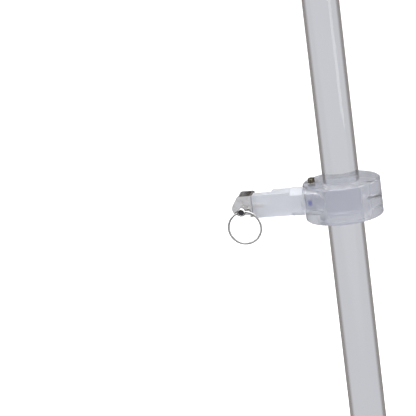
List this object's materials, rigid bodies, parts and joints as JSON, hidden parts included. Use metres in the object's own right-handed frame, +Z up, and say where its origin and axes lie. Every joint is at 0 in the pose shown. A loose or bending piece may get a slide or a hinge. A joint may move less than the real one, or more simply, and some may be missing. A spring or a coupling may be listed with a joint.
{
  "type": "saxophone display stand",
  "caption": "Clear acrylic stand: a leaning round rod carries a sliding collar whose arm ends in a steel clevis with a pull pin for a saxophone's strap ring; a cradle takes the bow.",
  "frame": {"origin": "on the floor, under the middle of the base plate", "axes": "+Z up; the arm and the base's longer end point to -X; the pull pin's head and ring face -Y"},
  "size_m": [0.32, 0.24, 0.6358],
  "materials": {
    "clear_acrylic": "polished clear acrylic",
    "frosted_acrylic": "satin translucent acrylic, faintly blue",
    "rubber": "translucent grey rubber",
    "silicone": "matt clear-grey silicone",
    "nylon": "natural nylon",
    "steel": "plain stainless steel",
    "polished_steel": "polished stainless steel",
    "dark_steel": "bronze-dark oxide steel",
    "brass": "knurled brass",
    "blue_locker": "cured blue thread locker"
  },
  "bodies": {
    "base": {"base_plate": "clear_acrylic", "rubber_feet": "rubber", "foot_screws": "steel", "base_socket": "frosted_acrylic", "socket_screws": "steel", "rod_bolt": "steel", "rod_washer": "steel", "rest_post": "clear_acrylic", "rest_saddle": "frosted_acrylic", "rest_pad": "silicone", "rest_screws": "steel"},
    "socket_screw": {"socket_set_screw": "dark_steel", "socket_screw_tip": "nylon"},
    "upright": {"upright_rod": "clear_acrylic", "rod_insert": "brass"},
    "collar_and_arm": {"collar": "frosted_acrylic", "arm": "frosted_acrylic", "arm_set_screw": "dark_steel", "thread_locker": "blue_locker", "clevis_bracket": "polished_steel", "bracket_screw": "steel", "bracket_insert": "brass"},
    "collar_screw": {"collar_set_screw": "dark_steel", "collar_screw_tip": "nylon"},
    "pin": {"release_pin": "polished_steel", "detent_ball": "steel", "detent_spring": "steel"},
    "ring": {"pull_ring": "polished_steel"}
  },
  "joints": [
    {"name": "socket_screw_turn", "type": "hinge", "parent": "base", "child": "socket_screw", "pos_m": [0.11754, 0, 0.0503], "axis": [0.9925, 0, 0.1219], "range_deg": [-360, 0]},
    {"name": "upright_turn", "type": "hinge", "parent": "base", "child": "upright", "pos_m": [0.1, 0, 0.029], "axis": [-0.1219, 0, 0.9925], "continuous": true},
    {"name": "collar_slide", "type": "slide", "parent": "upright", "child": "collar_and_arm", "axis": [-0.1219, 0, 0.9925], "range_m": [-0.32, 0.2]},
    {"name": "collar_screw_turn", "type": "hinge", "parent": "collar_and_arm", "child": "collar_screw", "pos_m": [0.07415, 0, 0.40364], "axis": [0.9925, 0, 0.1219], "range_deg": [-360, 0]},
    {"name": "pin_pull", "type": "slide", "parent": "collar_and_arm", "child": "pin", "axis": [0, -1, 0], "range_m": [0, 0.03]},
    {"name": "ring_swing", "type": "hinge", "parent": "pin", "child": "ring", "pos_m": [-0.01376, -0.0116, 0.39093], "axis": [-0.9781, 0, -0.2079], "range_deg": [-15, 160]}
  ]
}
